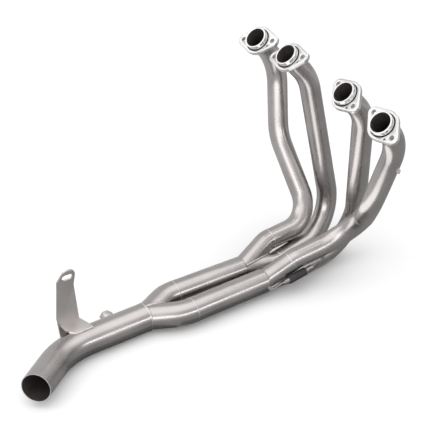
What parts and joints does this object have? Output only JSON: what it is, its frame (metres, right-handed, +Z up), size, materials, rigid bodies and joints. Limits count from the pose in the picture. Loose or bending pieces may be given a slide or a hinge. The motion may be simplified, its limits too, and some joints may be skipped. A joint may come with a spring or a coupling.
{
  "type": "motorcycle exhaust header",
  "caption": "Motorcycle exhaust header of bent steel tubes that merge stepwise into an outlet pipe, with loose port flanges, sprung slip joints and a slotted hanger bracket.",
  "frame": {"origin": "on the floor it lies on, below the middle of its box", "axes": "+X towards the outlet, +Y from pipe 1 to pipe 4, +Z up, lying as pictured"},
  "size_m": [0.7399, 0.438, 0.4078],
  "materials": {
    "tube_steel": "satin",
    "flange_steel": "machined",
    "collar_steel": "turned",
    "sheet_steel": "satin",
    "spring_steel": "drawn wire",
    "damper_rubber": "matte"
  },
  "bodies": {
    "header": {"exhaust_spring_left": "spring_steel", "exhaust_spring_right": "spring_steel", "hanger_bracket": "sheet_steel", "port_collar_1": "collar_steel", "port_collar_2": "collar_steel", "port_collar_3": "collar_steel", "port_collar_4": "collar_steel", "primary_leg_1": "tube_steel", "primary_leg_2": "tube_steel", "primary_leg_3": "tube_steel", "primary_leg_4": "tube_steel", "primary_tube_1": "tube_steel", "primary_tube_2": "tube_steel", "primary_tube_3": "tube_steel", "primary_tube_4": "tube_steel", "secondary_leg_left": "tube_steel", "secondary_leg_right": "tube_steel", "secondary_tube_left": "tube_steel", "secondary_tube_right": "tube_steel", "sensor_bung": "sheet_steel", "sensor_plug": "sheet_steel", "side_tab_1": "sheet_steel", "side_tab_4": "sheet_steel", "slip_spigot_left": "tube_steel", "slip_spigot_right": "tube_steel", "spring_damper_left": "damper_rubber", "spring_damper_right": "damper_rubber", "spring_tab_left_front": "sheet_steel", "spring_tab_left_rear": "sheet_steel", "spring_tab_right_front": "sheet_steel", "spring_tab_right_rear": "sheet_steel", "tail_pipe": "tube_steel"},
    "flange_1": {"header_flange_1": "flange_steel"},
    "flange_2": {"header_flange_2": "flange_steel"},
    "flange_3": {"header_flange_3": "flange_steel"},
    "flange_4": {"header_flange_4": "flange_steel"}
  },
  "joints": [
    {"name": "flange_1_swivel", "type": "hinge", "parent": "header", "child": "flange_1", "pos_m": [-0.26647, -0.17747, 0.38706], "axis": [0.681, 0.0495, 0.7306], "continuous": true},
    {"name": "flange_2_swivel", "type": "hinge", "parent": "header", "child": "flange_2", "pos_m": [-0.2654, -0.08807, 0.38699], "axis": [0.6733, -0.0453, 0.738], "continuous": true},
    {"name": "flange_3_swivel", "type": "hinge", "parent": "header", "child": "flange_3", "pos_m": [-0.25739, 0.07554, 0.37949], "axis": [0.673, -0.0573, 0.7374], "continuous": true},
    {"name": "flange_4_swivel", "type": "hinge", "parent": "header", "child": "flange_4", "pos_m": [-0.24751, 0.17848, 0.3691], "axis": [0.6852, 0.0548, 0.7263], "continuous": true}
  ]
}
